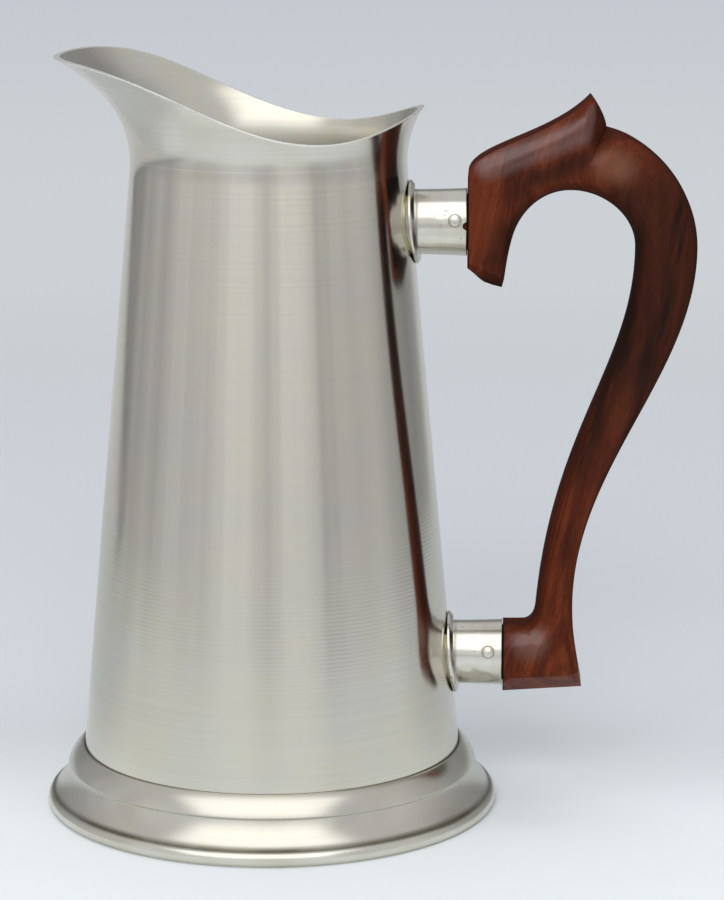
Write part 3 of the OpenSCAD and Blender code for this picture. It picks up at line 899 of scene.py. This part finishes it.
# Handle: rounded sections between an inner and an outer curve
handle = {
    "gap": 0.1,
    "shadowGap": 0.12,
    "gripHalf": 8.6,
    "gripRound": 5.0,
    "palmRound": 7.6,  # inner edge
    "buttHalf": 10.4,
    "buttShare": 0.87,  # of that half at the butt's top
    "buttBulge": 0.5,
    "buttEdge": 0.6,
    "thumbHalf": 7.5,  # at the edge of the thumb rest's flat top
    "thumbBulge": 2.6,
    "thumbEdge": 0.5,
    "crease": 3.8,  # behind the thumb rest
    "creaseFrom": 0.12,  # share of the way from the tip to the notch
    "creaseFade": (0.16, 1.3),  # share of the way along the grip, and a power
    "creaseAcross": (0.42, 0.80, 1.2),  # from and to, towards the outer edge, and a power
    "beakCrown": 1.0,
    "beakInner": (0.42, 0.55, 0.80, 1.0),  # shares of the grip's half, from the crown to the side
    "beakOuter": (0.45, 0.60, 0.82, 1.0),  # shares of the butt's half
    "beakRound": (0.8, 0.8, 1.2, 1.6),
    "beakShares": (0.1, 0.19),  # places between beak and throat
    "heel": 1.5,
    "heelSide": 3.4,
    "blockRound": 8.0,
    "blockEdge": 1.0,
    "soleRun": 5.2,  # chamfer under the block
    "soleSide": 3.4,
    "tenonLength": 11.5,
    "tenonGap": 0.1,
    "tenonRoot": 2.0,
    "tenonSides": 64,
    "corner": 7,  # steps round an edge
    "flat": 14,  # steps across a flat
    "sharp": 28,  # degrees
}
upperPlaces = {  # from the upper mouth, along and up
    "buttLow": (handle["shadowGap"], -13.7),
    "buttHigh": (handle["shadowGap"], 13.7),
    "beakTip": (10.0, -18.2),
    "throat": (13.4, -2.603),
    "archPeak": (28.536, 9.4),
    "archBehind": (30.624, 9.4),
    "thumbTip": (34.8, 36.4),
    "notch": (39.3, 27.6),
    "gripFront": (48.0, -7.1),
    "gripBack": (65.6, -7.1),
}
lowerPlaces = {  # from the lower mouth
    "waistFront": (9.6, 15.2),
    "waistBack": (20.3, 15.2),
    "blockFront": (handle["shadowGap"], 9.5),
    "blockTop": (5.28, 9.5),
    "soleFront": (handle["shadowGap"], -9.8),
    "toe": (23.1, -8.2),
}


def bend(a, aAngle, aPull, b, bAngle, bPull):
    a, b = np.array(a), np.array(b)
    span = np.linalg.norm(b - a)
    leave = np.array([math.cos(math.radians(aAngle)), math.sin(math.radians(aAngle))])
    arrive = np.array([math.cos(math.radians(bAngle)), math.sin(math.radians(bAngle))])
    return a, a + aPull * span * leave, b - bPull * span * arrive, b


def straight(a, b):
    a, b = np.array(a), np.array(b)
    return a, a + (b - a) / 3, b - (b - a) / 3, b


def onCurve(curve, t):
    a, b, c, d = curve
    return (1 - t) ** 3 * a + 3 * t * (1 - t) ** 2 * b + 3 * t * t * (1 - t) * c + t ** 3 * d


def stretch(inner, outer, steps, **shape):
    # pairs give a value at both ends; the outer edge is cut straight by the share in cut;
    # the sides bulge, and may crease at the outer edge
    grip, soft, palm = (handle["gripHalf"],) * 2, (handle["gripRound"],) * 2, (handle["palmRound"],) * 2
    made = {
        "inner": inner, "outer": outer, "steps": steps, "ease": 1.0,
        "innerHalf": grip, "outerHalf": grip, "innerRound": palm, "outerRound": soft,
        "cut": (0, 0), "bulge": (0, 0), "crease": (0, 0),
    }
    made.update(shape)
    return made


def stretchList():
    at = {}
    for end, places in (("upper", upperPlaces), ("lower", lowerPlaces)):
        for name, place in places.items():
            at[name] = mouthOf(end) + [handle["gap"], 0] + place
    throat, archPeak, archBehind = at["throat"], at["archPeak"], at["archBehind"]
    thumbTip, notch, gripFront, gripBack = at["thumbTip"], at["notch"], at["gripFront"], at["gripBack"]
    waistFront, waistBack, toe = at["waistFront"], at["waistBack"], at["toe"]
    beakTip, buttLow, buttHigh = at["beakTip"], at["buttLow"], at["buttHigh"]
    beakEdge, beakSide = [beakTip + share * (throat - beakTip) for share in handle["beakShares"]]
    heelLow, heelHigh = buttLow + [handle["heel"], 0], buttLow + [0, handle["heel"]]
    heelSide = buttLow + [0, handle["heelSide"]]
    under = beakTip - heelLow
    underTurn = math.degrees(math.atan2(under[1], under[0]))
    outward = np.array([under[1], -under[0]]) / np.linalg.norm(under)
    crown = heelLow + under / 2 + outward * handle["beakCrown"]
    ridge = 0.02 * under  # half the flat along the crown

    grip, butt, crease = handle["gripHalf"], handle["buttHalf"], handle["crease"]
    soft, palm, buttEdge = handle["gripRound"], handle["palmRound"], handle["buttEdge"]
    blockRound, blockEdge = handle["blockRound"], handle["blockEdge"]
    front, back = np.array(handle["beakInner"]) * grip, np.array(handle["beakOuter"]) * butt
    beak = []
    for k in range(3):
        beak.append({
            "innerHalf": front[k:k + 2], "outerHalf": back[k:k + 2],
            "innerRound": handle["beakRound"][k:k + 2], "outerRound": (buttEdge, buttEdge),
        })
    square = {"outerHalf": handle["buttShare"] * butt, "outerRound": buttEdge, "bulge": handle["buttBulge"]}
    rest = {
        "outerHalf": handle["thumbHalf"], "outerRound": handle["thumbEdge"], "bulge": handle["thumbBulge"],
    }
    grown = {"outerHalf": grip, "outerRound": soft, "bulge": 0.0}
    return [
        stretch(bend(crown + ridge, underTurn, 0.33, beakTip, underTurn + 15, 0.33),
                bend(crown - ridge, underTurn + 180, 0.33, heelLow, underTurn + 165, 0.33), 14, **beak[0]),
        stretch(straight(beakTip, beakEdge), straight(heelLow, heelHigh), 6, **beak[1]),
        stretch(straight(beakEdge, beakSide), straight(heelHigh, heelSide), 6, **beak[2]),
        stretch(bend(beakSide, 82, 0.33, throat, 70, 0.33), straight(heelSide, buttHigh), 44,
                outerHalf=(butt, square["outerHalf"]), outerRound=(buttEdge, buttEdge),
                bulge=(0, square["bulge"]), innerRound=(handle["beakRound"][-1], palm)),
        stretch(bend(throat, 70, 0.32, archPeak, 3, 0.4), bend(buttHigh, 90, 0.2, thumbTip, 47, 0.4), 100,
                ease=0.4, **{key: (square[key], rest[key]) for key in rest}),
        stretch(straight(archPeak, archBehind), bend(thumbTip, -50, 0.32, notch, -84, 0.28), 30,
                crease=(0, crease), **{key: (rest[key], grown[key]) for key in rest}),
        stretch(bend(archBehind, -4, 0.36, gripFront, -90, 0.39),
                bend(notch, -17, 0.33, gripBack, -90, 0.4), 90, crease=(crease, 0)),
        stretch(bend(gripFront, -90, 0.31, waistFront, -95, 0.49),
                bend(gripBack, -90, 0.33, waistBack, -90, 0.375), 110),
        stretch(bend(waistFront, -95, 0.42, at["blockTop"], 180, 0.4),
                bend(waistBack, -90, 0.33, toe, -78, 0.33), 48,
                innerHalf=(grip, butt), outerHalf=(grip, butt),
                innerRound=(palm, blockRound), outerRound=(soft, blockEdge), cut=(0, 1)),
        stretch(straight(at["blockTop"], at["blockFront"]), straight(toe, at["soleFront"]), 16,
                innerHalf=(butt, butt), outerHalf=(butt, butt),
                innerRound=(blockRound, blockRound), outerRound=(blockEdge, blockEdge), cut=(1, 1)),
    ]


def cornerPoints(r, cut):
    # way in along the section and way in from the side, from the edge's end to the side
    share = np.linspace(0, 1, handle["corner"] + 1)
    turn = share * math.pi / 2
    run = (1 - cut) * r * (1 - np.cos(turn)) + cut * handle["soleRun"] * share
    side = (1 - cut) * r * (1 - np.sin(turn)) + cut * handle["soleSide"] * (1 - share)
    return run, side


def handleSection(part, t):
    def at(key):
        first, last = part[key]
        return first + (last - first) * t ** part["ease"]

    front, back = onCurve(part["inner"], t), onCurve(part["outer"], t)
    span = np.linalg.norm(back - front)
    along = (back - front) / span
    runIn, sideIn = cornerPoints(at("innerRound"), 0)
    runOut, sideOut = cornerPoints(at("outerRound"), at("cut"))
    flats = np.linspace(0, 1, handle["flat"] + 1)[1:-1]
    flatRun = runIn[-1] + (span - runOut[-1] - runIn[-1]) * flats
    flatHalf = at("innerHalf") + (at("outerHalf") - at("innerHalf")) * flats
    flatHalf = flatHalf + at("bulge") * np.sin(np.pi * flats ** 1.5)
    place = np.concatenate([runIn, flatRun, span - runOut[::-1]])
    half = np.concatenate([at("innerHalf") - sideIn, flatHalf, at("outerHalf") - sideOut[::-1]])
    # the crease starts sharply, fades along the grip and towards the inner edge
    start, end = part["crease"]
    first = handle["creaseFrom"]
    fade, fadePower = handle["creaseFade"]
    low, high, power = handle["creaseAcross"]
    deep = end * max(0, (t - first) / (1 - first)) + start * max(0, 1 - t / fade) ** fadePower
    half = half - deep * np.clip((place / span - low) / (high - low), 0, 1) ** power
    near = [(front + along * p, -h) for p, h in zip(place, half)]
    far = [(front + along * p, h) for p, h in zip(place, half)]
    return [(p[0], h, p[1]) for p, h in near + far[::-1]]


# Rosewood: an arched figure, dark smoke, pores, and polish where fingers rub it, with painted light and
# shade on some faces and edges and in the gaps at the mouths
woodLook = {
    "red": (0.098, 0.0185, 0.0075),
    "orange": (0.160, 0.035, 0.0125),
    "brown": (0.046, 0.0115, 0.006),
    "dark": (0.018, 0.008, 0.006),
    # tan is for the painted light on the shoulder facet
    "tan": (0.175, 0.066, 0.034),
    "shadow": (0.006, 0.004, 0.003),
    "roughness": 0.42,
    "coat": 0.05,
    "coatRoughness": 0.26,
    "coatIor": 1.7,
    "rubbedAndHighlight": [  # strokes from the upper mouth: start, end, full and last reach, share
        ((6, 16.8), (32, 26.7), (1, 5.4), 1.05),
        ((32, 27.5), (36, 33), (0.8, 3), 0.8),
        ((39, 18), (44, 17), (2, 5.5), 0.2),
    ],
    "block": ((8, 6), (1.5, 8), 0.9),  # a round spot, from the lower mouth
    "sole": ((4, -9.8), (21, -8.6), (4.2, 4.8), 0.5),  # a stroke from there
    "patches": [  # strokes from the upper mouth, with a colour: dark figure, and painted light and shade on single faces
        ((55, 2), (54, -32), (6, 28), 0.95, "dark"),
        ((46, -48), (38, -66), (2, 20), 0.6, "dark"),
        # painted shade on the beak's inner side and under the beak
        ((9, -4), (10, -12), (1, 8), 0.7, "dark"),
        ((4, -18), (10, -18), (1, 5), 0.8, "dark"),
        # painted shade under the thumb rest's sheen
        ((12, 9), (19, 13), (0.5, 4.5), 0.35, "dark"),
        ((21, 14), (33, 19), (0.5, 4.5), 0.9, "dark"),
        ((3, 10), (3, -2), (2, 9), 0.45, "orange"),
        # painted light on the shoulder facet behind the notch
        ((39.5, 17.8), (43.5, 16.6), (0.5, 7.5), 0.72, "tan"),
        # painted shade on the thumb rest's rear facet
        ((37.6, 33), (36.2, 24), (0.6, 2.6), 0.65, "dark"),
    ],
    "patchStreak": (0.72, 0.42),  # least share, and more in the smoke
    "mouthShadow": (0.25, 0.65),  # past a mouth, and its width
    "mouthR": (14, 15),
    "edgeShade": (3.5, 8.0, 0.6),  # painted shade on the narrow edges, from the handle's middle, and a share
    "dullTop": (6.6, 8.0),
    "figureAt": (0.098, 0.0, 0.120),  # top of the arched figure
    "heart": 0.030,
    "ringSlope": 0.04,
    "grainTurn": (0.0, math.radians(-9), 0.0),
    "wander": {"slow": 0.007, "quick": 0.0012},
    "figure": {  # per metre across the grain, into the plank and along the grain, detail, roughness
        "slow": (45, 45, 9, 2.0, 0.5),
        "quick": (160, 160, 30, 2.0, 0.5),
        "bands": (420, 0, 3, 3.0, 0.6),
        "lines": (1500, 40, 10, 2.0, 0.6),
        "smoke": (150, 90, 20, 3.0, 0.6),
        "mottle": (700, 700, 330, 2.0, 0.6),
        "fibre": (1700, 1700, 70, 2.0, 0.6),
        "pores": (2600, 2600, 140, 1.0, 0.5),
    },
    "smokeShift": 3.1 / 150,
    "smokeBand": (0.40, 0.62),
    "bandsBand": (0.36, 0.66),
    "poreBand": (0.64, 0.72),
    "layers": [  # from, to, share and colour
        ("lines", 0.48, 0.70, 0.45, "brown"),
        ("smoke", 0.50, 0.68, 0.70, "dark"),
        ("mottle", 0.40, 0.70, 0.35, "brown"),
        ("fibre", 0.45, 0.75, 0.30, "brown"),
        ("pores", 0.64, 0.72, 0.60, "dark"),
    ],
    "fibreRough": 0.12,
    "poreRough": 0.15,
    "fibreDepth": 4e-6,
    "poreDepth": 12e-6,
}


def rosewood(name, look):
    material, sheet = newMaterial(name)
    here = sheet.place()
    x, y, z = sheet.split(here)
    moved = sheet.add("ShaderNodeVectorMath", {"operation": "SUBTRACT"}, {0: here, 1: look["figureAt"]})
    plank = sheet.add("ShaderNodeMapping", {}, {"Vector": moved, "Rotation": look["grainTurn"]})
    u, v, w = sheet.split(plank)  # across the grain, into the plank, along the grain

    def grain(kind, across):
        wide, deep, long, detail, rough = look["figure"][kind]
        return sheet.noise(sheet.join(across * wide, v * deep, w * long), 1.0, detail, rough)

    def near(start, end, reach):  # 1 along a stroke in the side view, 0 past the reach, in millimetres
        run, rise = (np.array(end) - np.array(start)) * mm
        left, up = x - start[0] * mm, z - start[1] * mm
        share = ((left * run + up * rise) / max(run * run + rise * rise, 1e-12)).clamp()
        away = ((left - share * run) ** 2.0 + (up - share * rise) ** 2.0) ** 0.5
        return 1 - away.step(reach[0] * mm, reach[1] * mm)

    ring = (u ** 2.0 + (v + look["heart"]) ** 2.0) ** 0.5 + w * look["ringSlope"]
    for kind, share in look["wander"].items():
        ring = ring + grain(kind, u) * share
    figure = {kind: grain(kind, u) for kind in ("mottle", "fibre", "pores")}
    figure["lines"] = grain("lines", ring)
    figure["smoke"] = grain("smoke", u + look["smokeShift"])
    tone = sheet.mix(grain("bands", ring).step(*look["bandsBand"]), look["red"], look["orange"])
    for kind, low, high, share, shade in look["layers"]:
        tone = sheet.mix(figure[kind].step(low, high) * share, tone, look[shade])

    upper, lower = mouthOf("upper"), mouthOf("lower")
    least, more = look["patchStreak"]
    streak = figure["smoke"].step(*look["smokeBand"])
    # dark figure, and painted light and shade on single faces
    for start, end, reach, share, shade in look["patches"]:
        patch = near(upper + start, upper + end, reach) * share * (least + streak * more)
        tone = sheet.mix(patch.clamp(), tone, look[shade])
    past, width = look["mouthShadow"]
    for mouth in (upper, lower):  # painted shadow in the gap at a mouth
        gap = x.bell((mouth[0] + past) * mm, width * mm)
        tone = sheet.mix(near(mouth, mouth, look["mouthR"]) * gap, tone, look["shadow"])
    # painted shade on the narrow edges, near the handle's middle plane
    beside = y.maths("ABSOLUTE", y)
    inner, outer, share = look["edgeShade"]
    tone = sheet.mix((1 - beside.step(inner * mm, outer * mm)) * share, tone, look["dark"])

    place, reach, share = look["block"]
    polish = near(lower + place, lower + place, reach) * share
    for start, end, reach, share in look["rubbedAndHighlight"]:
        polish = polish + near(upper + start, upper + end, reach) * share
    start, end, reach, share = look["sole"]
    sole = near(lower + start, lower + end, reach) * share  # chamfer under the block
    inner, outer = look["dullTop"]
    polish = polish.clamp() * beside.step(inner * mm, outer * mm) + sole + look["coat"]

    fibre, pores = figure["fibre"], figure["pores"].step(*look["poreBand"])
    rough = look["roughness"] + (fibre - 0.5) * look["fibreRough"] + pores * look["poreRough"]
    finishMaterial(sheet, fibre * look["fibreDepth"] - pores * look["poreDepth"], {
        "Base Color": tone,
        "Roughness": rough.clamp(),
        "Specular IOR Level": 0.0,
        "Coat Weight": polish.clamp(),
        "Coat Roughness": look["coatRoughness"],
        "Coat IOR": look["coatIor"],
    })
    return material


# the round end that fills a socket
def tenon(end, finish):
    x, axisZ = mouthOf(end)
    r = sockets["r"] - sockets["wall"] - handle["tenonGap"]
    around = np.linspace(0, 2 * np.pi, handle["tenonSides"], endpoint=False)
    y, z = r * np.cos(around), axisZ + r * np.sin(around)
    places = (x - handle["tenonLength"], x, x + handle["tenonRoot"])
    rings = [np.stack([np.full_like(around, place), y, z], axis=1) for place in places]
    return ringMesh("tenon", np.array(rings), finish, capped=True)


def joined(meshes):
    work = bmesh.new()
    for mesh in meshes:
        work.from_mesh(mesh)
    work.to_mesh(meshes[0])
    work.free()
    return meshes[0]


def makeHandle():
    rings = []
    for k, part in enumerate(stretchList()):
        steps = part["steps"]
        for i in range(0 if k == 0 else 1, steps + 1):
            rings.append(handleSection(part, i / steps))
    finish = rosewood("rosewood", woodLook)
    mesh = ringMesh("grip", np.array(rings), finish, capped=True, sharp=handle["sharp"])
    mesh = joined([mesh, tenon("upper", finish), tenon("lower", finish)])
    addPiece("carved_handle", mesh, ["handle"])


makeHandle()
print("handle carved")


# Stage: a pale floor that runs out of the picture, painted lighter in front of the jug than behind, darker
# where the metal mirrors it, and glowing as a backdrop for the camera further off
stage = {
    "near": (0.85, 0.885, 0.91),
    "middle": (0.64, 0.67, 0.695),
    "nearToMiddle": (-0.04, 0.075),  # metres towards the back
    "behind": (0.605, 0.638, 0.665),
    "far": (0.56, 0.585, 0.635),
    "behindToFar": (1.0, 3.8),  # metres from the jug, as all below
    "backdropFrom": (0.45, 1.1),
    "mirrored": (0.42, 0.43, 0.44),
    "mirroredFrom": (0.12, 0.20),
    "mirroredShare": 0.38,
    "roomFrom": (0.53, 0.60),  # past this the metal shows the room instead of the floor
    "roughness": 0.6,
    "shine": 0.2,
    "reach": 60.0,
}


def makeFloor():
    material, sheet = newMaterial("paleFloor")
    x, y, _ = sheet.split(sheet.place())
    radius = (x * x + y * y) ** 0.5
    glossy, seen = sheet.ray("Is Glossy Ray"), sheet.ray("Is Camera Ray")
    # painted falloff of the light: lighter in front of the jug, darker behind
    tone = sheet.mix(y.step(*stage["nearToMiddle"]), stage["near"], stage["middle"])
    # painted reflection: the floor is darker where the metal mirrors it
    mirrored = glossy * radius.step(*stage["mirroredFrom"]) * stage["mirroredShare"]
    ground = sheet.add("ShaderNodeBsdfPrincipled", {}, {
        "Base Color": sheet.mix(mirrored, tone, stage["mirrored"]),
        "Roughness": stage["roughness"],
        "Specular IOR Level": stage["shine"],
    })
    backdrop = sheet.mix(radius.step(*stage["behindToFar"]), stage["behind"], stage["far"])
    backdrop = sheet.add("ShaderNodeEmission", {}, {"Color": backdrop, "Strength": 1.0})
    share = seen * radius.step(*stage["backdropFrom"])
    blend = sheet.add("ShaderNodeMixShader", {}, {0: share, 1: ground, 2: backdrop})
    gone = sheet.add("ShaderNodeBsdfTransparent")
    share = glossy * radius.step(*stage["roomFrom"])
    blend = sheet.add("ShaderNodeMixShader", {}, {0: share, 1: blend, 2: gone})
    sheet.add("ShaderNodeOutputMaterial", {}, {"Surface": blend})
    mesh = bpy.data.meshes.new("paleFloor")
    reach = stage["reach"]
    corners = [(-reach, -reach, 0), (reach, -reach, 0), (reach, reach, 0), (-reach, reach, 0)]
    mesh.from_pydata(corners, [], [(0, 1, 2, 3)])
    mesh.materials.append(material)
    floor = bpy.data.objects.new("paleFloor", mesh)
    scene.collection.objects.link(floor)


def linkAimed(name, data, place, forward):
    holder = bpy.data.objects.new(name, data)
    holder.location = place
    holder.rotation_euler = Vector(forward).to_track_quat("-Z", "Y").to_euler()
    scene.collection.objects.link(holder)
    return holder


lamps = {
    "frontWindow": {"place": (-0.15, -1.7, 1.15), "size": (1.3, 0.7), "power": 18.0},
    "overhead": {"place": (0.0, 0.2, 1.8), "size": (1.8, 1.8), "power": 14.0},
}
lampAim = (0, 0, 0.1)


def makeLamps():
    for name, values in lamps.items():
        lamp = bpy.data.lights.new(name, "AREA")
        lamp.shape = "RECTANGLE"
        lamp.size, lamp.size_y = values["size"]
        lamp.energy = values["power"]
        holder = linkAimed(name, lamp, values["place"], Vector(lampAim) - Vector(values["place"]))
        holder.visible_glossy = False  # the room below is what the metal mirrors


# What the metal mirrors: panels round the room, windows in front, a pale ceiling and floor
room = {
    "panels": [  # place round the room, 0.5 towards the front, and brightness
        (0.00, 0.62), (0.075, 0.60), (0.105, 0.34), (0.165, 0.32), (0.19, 0.46), (0.21, 0.42),
        (0.24, 0.54), (0.265, 0.44), (0.30, 0.62), (0.345, 0.60), (0.39, 0.61), (0.43, 0.77),
        (0.467, 0.77), (0.508, 0.55), (0.54, 0.76), (0.585, 0.72), (0.598, 0.66), (0.612, 0.48),
        (0.635, 0.50), (0.664, 0.57), (0.693, 0.52), (0.724, 0.58), (0.76, 0.48), (0.79, 0.40),
        (0.86, 0.26), (0.90, 0.34), (0.94, 0.62), (1.00, 0.62),
    ],
    "streaks": {"round": 90, "up": 2, "band": (0.3, 0.7), "share": 0.25, "level": 0.30},
    "edge": {  # a dark edge far behind on the left
        "at": 0.0687, "slope": 0.70, "soft": 0.004, "line": 0.018, "level": 0.02, "beyond": 0.60,
    },
    "lift": 0.28,  # more light above the eye line
    "liftFrom": (-0.01, 0.09),
    "ground": (0.80, 0.82, 0.84),
    "groundBelow": (0.34, 0.44),
    "behind": 0.27,
    "behindFrom": (0.6, 0.85),
    "behindAbove": (0.0, 0.06),
    "ceiling": (0.64, 0.65, 0.67),
    "ceilingAbove": (0.35, 0.70),
    "ceilingShift": 0.11,  # higher at the back
    "shiftFrom": (-0.1, 0.3),
    "window": (1.65, 1.66, 1.70),
    "windowAbove": (0.32, 0.42),
    "windowFront": (0.14, 0.22),
    "windowMiddle": -0.05,
    "windowSide": (0.45, 0.62),
    "plain": (0.50, 0.52, 0.54),
    "daylight": (1.0, 1.015, 1.06),
}


def grey(level):
    return tuple(level * share for share in room["daylight"])


def makeWorld():
    world = bpy.data.worlds.new("studio")
    scene.world = world
    world.use_nodes = True
    world.node_tree.nodes.clear()
    sheet = Sheet(world.node_tree)
    x, y, z = sheet.split(sheet.add("ShaderNodeTexCoord", {}, {}, "Generated"))
    around = x.maths("ARCTAN2", x, 0 - y) / (2 * math.pi) + 0.5
    stops = [(place, grey(level)) for place, level in room["panels"]]
    panels = sheet.add("ShaderNodeValToRGB", {"stops": stops}, {"Fac": around})
    streaks = room["streaks"]
    streak = sheet.noise(sheet.join(around * streaks["round"], z * streaks["up"], 0.0))
    panels = sheet.mix(streak.step(*streaks["band"]) * streaks["share"], panels, grey(streaks["level"]))
    edge = room["edge"]
    across = around + z * edge["slope"]
    beyond = 1 - across.step(edge["at"] - edge["soft"], edge["at"] + edge["soft"])
    panels = sheet.mix(beyond, panels, grey(edge["beyond"]))
    panels = sheet.mix(across.bell(edge["at"], edge["line"]), panels, grey(edge["level"]))
    lift = 1 + z.step(*room["liftFrom"]) * room["lift"]
    panels = sheet.add("ShaderNodeVectorMath", {"operation": "SCALE"}, {0: panels, "Scale": lift})
    seen = sheet.mix((0 - z).step(*room["groundBelow"]), panels, room["ground"])
    behind = y.step(*room["behindFrom"]) * z.step(*room["behindAbove"])
    seen = sheet.mix(behind, seen, grey(room["behind"]))
    above = z - y.step(*room["shiftFrom"]) * room["ceilingShift"]
    seen = sheet.mix(above.step(*room["ceilingAbove"]), seen, room["ceiling"])
    aside = x.maths("ABSOLUTE", x - room["windowMiddle"])
    window = z.step(*room["windowAbove"]) * (0 - y).step(*room["windowFront"])
    window = window * (1 - aside.step(*room["windowSide"]))
    seen = sheet.mix(window, seen, room["window"])
    colour = sheet.mix(sheet.ray("Is Glossy Ray"), room["plain"], seen)
    shine = sheet.add("ShaderNodeBackground", {}, {"Color": colour, "Strength": 1.0})
    sheet.add("ShaderNodeOutputWorld", {}, {"Surface": shine})


view = {
    "place": (0.0674, -0.9111, 0.2938),
    "forward": (-0.0437, 0.9784, -0.2023),
    "lens": 128.0,
    "sensor": 36.0,
}


def makeCamera():
    camera = bpy.data.cameras.new("camera")
    camera.lens = view["lens"]
    camera.sensor_width = view["sensor"]
    scene.camera = linkAimed("camera", camera, view["place"], view["forward"])


makeFloor()
makeWorld()
makeLamps()
makeCamera()
print("studio set")
